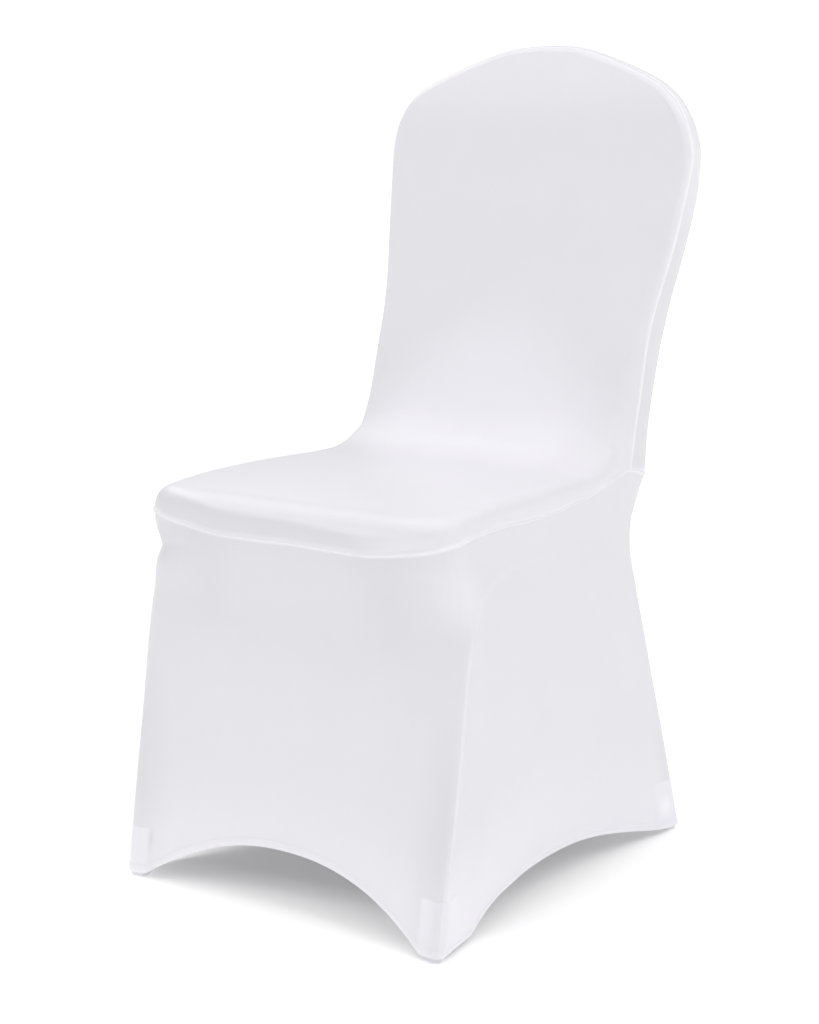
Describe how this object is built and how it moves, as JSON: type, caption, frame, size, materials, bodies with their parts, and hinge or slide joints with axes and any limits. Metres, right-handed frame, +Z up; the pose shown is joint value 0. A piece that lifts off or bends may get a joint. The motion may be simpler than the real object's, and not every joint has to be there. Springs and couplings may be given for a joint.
{
  "type": "fitted chair cover",
  "caption": "fitted stretch cover for a banquet chair with a rounded crown back: sleeve over the back, seat top, flared skirt with arched hem and foot pockets",
  "frame": {"origin": "on the floor, under the centre of the cover's box", "axes": "+Z up; the seat faces -Y, the back stands at +Y; +X is the right of someone looking along +Y; the cover is symmetric about the plane x = 0"},
  "size_m": [0.436, 0.5298, 0.9286],
  "materials": {
    "stretch_cloth": "matte white stretch knit with a soft sheen",
    "pocket_cloth": "matte white doubled knit"
  },
  "bodies": {
    "root": {"inner_panel": "stretch_cloth", "rear_panel": "stretch_cloth", "skirt": "stretch_cloth", "foot_pocket_front_left": "pocket_cloth", "foot_pocket_front_right": "pocket_cloth", "foot_pocket_rear_left": "pocket_cloth", "foot_pocket_rear_right": "pocket_cloth"}
  },
  "joints": []
}
